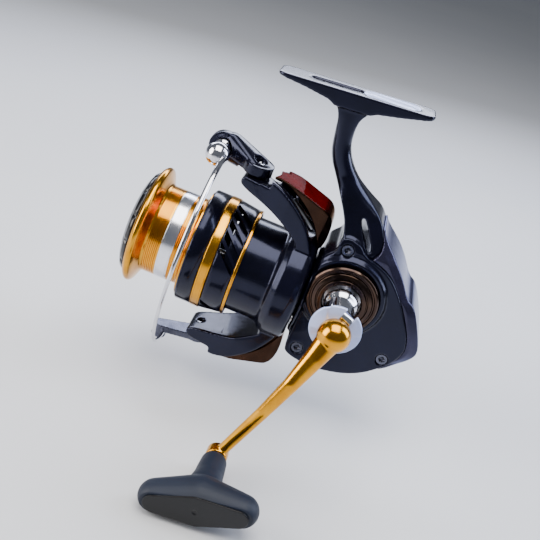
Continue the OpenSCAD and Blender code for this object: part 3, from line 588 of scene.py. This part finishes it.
def grooves(radius, start, count, pitch, depth):
    """Fine ring grooves cut into a barrel, as profile points."""
    points = []
    for i in range(count):
        y = start + i * pitch
        points += [
            (radius, y), (radius - depth, y + 0.25 * pitch), (radius - depth, y + 0.45 * pitch),
            (radius, y + 0.6 * pitch),
        ]
    return points


def build_spool():
    """Spool, its rings and its band, turned on one axis."""
    low, high = reel_box("spool")
    front, back, lip = low.y, high.y, high.x
    barrel, bore = 19.2, 16.5
    hub_bore, hub_r = 4.2, 7
    hub_front, hub_back, web_back = front + 14.8, front + 24.8, front + 17.3
    flange_y, flange_r = -38.9, 22.9
    groove_pitch, front_grooves_y, rear_grooves_y = 0.75, front + 6.5, -44.1
    lip_face = rounded([
        (lip - 2.4, front), (lip - 1.0, front + 0.25), (lip, front + 1.4), (lip, front + 2.4),
        (lip - 0.6, front + 3.2), (lip - 2.2, front + 3.9), (barrel + 2.2, front + 4.6),
        (barrel + 0.5, front + 5.4), (barrel, front + 6.2),
    ][::-1], 0.5)
    barrel_line = (
        grooves(barrel, front_grooves_y, 7, groove_pitch, 0.3)
        + grooves(barrel, rear_grooves_y, 5, groove_pitch, 0.25)
    )[::-1]
    profile = [
        (bore, front), (bore, hub_front), (hub_bore, hub_front), (hub_bore, hub_back),
        (hub_r, hub_back), (hub_r, web_back), (barrel - 2.2, web_back), (barrel - 2.2, back),
        (flange_r, back), (flange_r, flange_y), (flange_r - 0.4, flange_y - 0.2),
        (flange_r - 1.1, flange_y), (barrel + 0.6, flange_y - 0.9), (barrel, flange_y - 1.3),
    ] + barrel_line + lip_face
    lathe("spool_turned", profile, "spool")
    for node, thickness in BAND_THICKNESS.items():
        build_band(node, thickness)


def build_band(node, thickness):
    """A thin ring with softly rounded edges and a fine line near each of them."""
    low, high = reel_box(node)
    radius, width = high.x, high.y - low.y
    inner = radius - thickness
    edge_out, edge_along = 0.08, 0.1
    line = min(0.5, width / 5)
    dip, slope, line_width = 0.05, 0.05, 0.2
    profile = [
        (inner, low.y), (radius - edge_out, low.y), (radius, low.y + edge_along),
        (radius, low.y + line), (radius - dip, low.y + line + slope),
        (radius - dip, low.y + line + line_width - slope), (radius, low.y + line + line_width),
        (radius, high.y - line - line_width), (radius - dip, high.y - line - line_width + slope),
        (radius - dip, high.y - line - slope), (radius, high.y - line),
        (radius, high.y - edge_along), (radius - edge_out, high.y), (inner, high.y),
    ]
    lathe(node + "_turned", profile, node)


# ---------------------------------------------------------------- drag knob, rotor and bail
def build_drag_knob():
    """Drag knob with a fluted rim and stepped face."""
    low, high = reel_box("drag_knob")
    front, hub_back, rim = low.y, high.y, high.x
    hub_r, skirt_bore, skirt_back = 6, 13, front + 3.8
    flute_count, flute_depth, flute_start = 12, 0.8, 20.5
    profile = rounded([
        (0.01, front + 0.9), (4, front + 0.9), (4.4, front + 0.3), (8.6, front + 0.3), (9, front),
        (14.6, front), (15, front + 0.35), (15.5, front + 0.35), (15.9, front + 0.1),
        (18.5, front + 0.7), (21.2, front + 1.9), (rim, front + 3.2), (rim, skirt_back),
        (skirt_bore, skirt_back), (skirt_bore, hub_back), (hub_r, hub_back), (hub_r, front + 5),
        (0.01, front + 5),
    ], 0.25)
    lathe(
        "drag_knob_turned", profile, "drag_knob",
        flutes=(flute_count, flute_depth, flute_start), steps=288,
    )


def build_wire():
    """Bail wire: a polished bar, widest where it leaves its cap."""
    low, high = reel_box("bail_wire")
    middle_y = (low.y + high.y) / 2
    bar_half = 0.7
    half_height = 0.66
    narrow, widening = 0.72, 0.42
    count = 72
    radius = high.x - bar_half
    half_turn = math.degrees(math.asin(min(1, (high.z - bar_half) / radius)))
    stations = []
    for i in range(count + 1):
        turn = math.radians(half_turn * (1 - 2 * i / count))
        centre = Vector((radius * math.cos(turn), middle_y, radius * math.sin(turn)))
        half_width = narrow + widening * (1 - ramp(i / count, 0.05, 0.6))
        stations.append((centre, half_width, half_height, Vector((0, 1, 0))))
    sweep("bail_wire_bar", stations, "bail_wire")


def build_rotor():
    """Rotor, covers and bail levers with soft edges, then the drag knob and the bail wire."""
    rim_start, rim_full = 25, 28
    tip_start, tip_full = 27, 30
    moulded(
        "rotor", "rotor_casting", 0.4, 4, 0.5,
        pillow=lambda point: 0.8 * ramp(math.hypot(point.x, point.z), rim_start, rim_full),
    )
    moulded("bail_arm_cover", "bail_arm_cover_shell", 0.3, 5, 0.6)
    moulded("counter_arm_cover", "counter_arm_cover_shell", 0.3, 5, 0.6)
    moulded(
        "bail_lever", "bail_lever_casting", 0.25, 7, 0.6,
        pillow=lambda point: 0.9 * ramp(-point.y, tip_start, tip_full),
    )
    moulded("counter_lever", "counter_lever_casting", 0.2, 4, 0.6)
    moulded("bail_cap", "bail_wire_cap", 0.2, 4)
    build_drag_knob()
    build_wire()


# ---------------------------------------------------------------- handle
def build_handle():
    """Forged arm and moulded grip."""
    moulded("handle_arm", "handle_arm_forging", 0.3, 12, 0.5)
    moulded("knob", "knob_grip", 0.4, 6, 0.5)
    moulded("knob_cap", "knob_trim", 0.2, 3, 0.5)


# ---------------------------------------------------------------- crisp pieces
CRISP_NODES = (
    "spool_skirt", "handle_post", "joint_disc", "handle_lock_cap", "line_roller", "line_clip",
    "body_screws", "pivot_screws", "wire_screw", "guard_screw", "foot_inlay", "trip_lever",
    "rotor_nut", "main_shaft", "knob_shaft", "fold_pin",
)


# ---------------------------------------------------------------- stage
CAMERA_TARGET = Vector((22, -12, -72.3)) * MM
CAMERA_DISTANCE = 0.320
CAMERA_AZIMUTH = 93.3
CAMERA_ELEVATION = 27.0
CAMERA_ROLL = 16.1
CAMERA_LENS = 54.3


def add_camera():
    """Camera at the product shot's angle, rolled so that the reel's nose points up to the left."""
    data = bpy.data.cameras.new("camera")
    data.lens = CAMERA_LENS
    data.sensor_width = 36
    data.clip_start = 0.01
    camera = bpy.data.objects.new("camera", data)
    bpy.context.scene.collection.objects.link(camera)
    azimuth = math.radians(CAMERA_AZIMUTH)
    elevation = math.radians(CAMERA_ELEVATION)
    back = Vector((
        math.sin(azimuth) * math.cos(elevation),
        -math.cos(azimuth) * math.cos(elevation),
        math.sin(elevation),
    ))
    level = back.to_track_quat("Z", "Y").to_matrix().to_4x4()
    roll = Matrix.Rotation(math.radians(CAMERA_ROLL), 4, "Z")
    camera.matrix_world = Matrix.Translation(CAMERA_TARGET + back * CAMERA_DISTANCE) @ level @ roll
    bpy.context.scene.camera = camera


def add_floor(low, high):
    """A pale floor under the lowest point of the reel."""
    half = 3.0
    gap = 0.0005
    centre = (low + high) / 2
    height = low.z - gap
    mesh = bpy.data.meshes.new("floor")
    signs = ((-1, -1), (1, -1), (1, 1), (-1, 1))
    corners = [(centre.x + x * half, centre.y + y * half, height) for x, y in signs]
    mesh.from_pydata(corners, [], [(0, 1, 2, 3)])
    material, nodes, links, shader = new_material("floor_paint")
    where = surface_coordinates(nodes, links)
    cloud = noise(nodes, links, where, 0.004, 3)
    paler = spread(nodes, links, cloud, 0, 1)
    colour = mix_colour(nodes, links, paler, (0.62, 0.63, 0.66), (0.66, 0.67, 0.69))
    links.new(colour, shader.inputs["Base Color"])
    shader.inputs["Roughness"].default_value = 0.55
    mesh.materials.append(material)
    floor = bpy.data.objects.new("floor", mesh)
    bpy.context.scene.collection.objects.link(floor)


def add_light(name, place, target, size, size_y, power, colour):
    """A rectangular soft box that faces its target."""
    data = bpy.data.lights.new(name, "AREA")
    data.shape = "RECTANGLE"
    data.size = size
    data.size_y = size_y
    data.energy = power
    data.color = colour
    light = bpy.data.objects.new(name, data)
    bpy.context.scene.collection.objects.link(light)
    direction = Vector(target) - Vector(place)
    aim = direction.to_track_quat("-Z", "Y").to_matrix().to_4x4()
    light.matrix_world = Matrix.Translation(place) @ aim


def add_lights():
    """Soft studio light: warm boxes overhead and at the nose, cool ones behind and on the far side."""
    centre = (0, -0.01, -0.08)
    add_light("overhead_box", (0.12, 0.0, 0.55), centre, 0.55, 0.55, 7.0, (1, 0.98, 0.95))
    add_light("nose_box", (0.25, -0.55, 0.15), centre, 0.35, 0.5, 5.0, (1, 0.97, 0.93))
    add_light("rear_box", (-0.15, 0.55, 0.25), centre, 0.3, 0.6, 5.0, (0.75, 0.82, 1))
    add_light("far_strip", (-0.5, -0.1, 0.2), centre, 0.8, 0.15, 3.5, (0.8, 0.85, 1))
    world = bpy.data.worlds.new("studio")
    bpy.context.scene.world = world
    world.use_nodes = True
    background = world.node_tree.nodes["Background"]
    background.inputs["Color"].default_value = (0.75, 0.8, 0.9, 1)
    background.inputs["Strength"].default_value = 0.2


add_camera()
dress_cad_nodes()
build_body()
build_spool()
build_rotor()
build_handle()
for crisp in CRISP_NODES:
    machined(crisp)
add_lights()
lowest, highest = (Vector(corner) for corner in cad_box)
add_floor(lowest, highest)
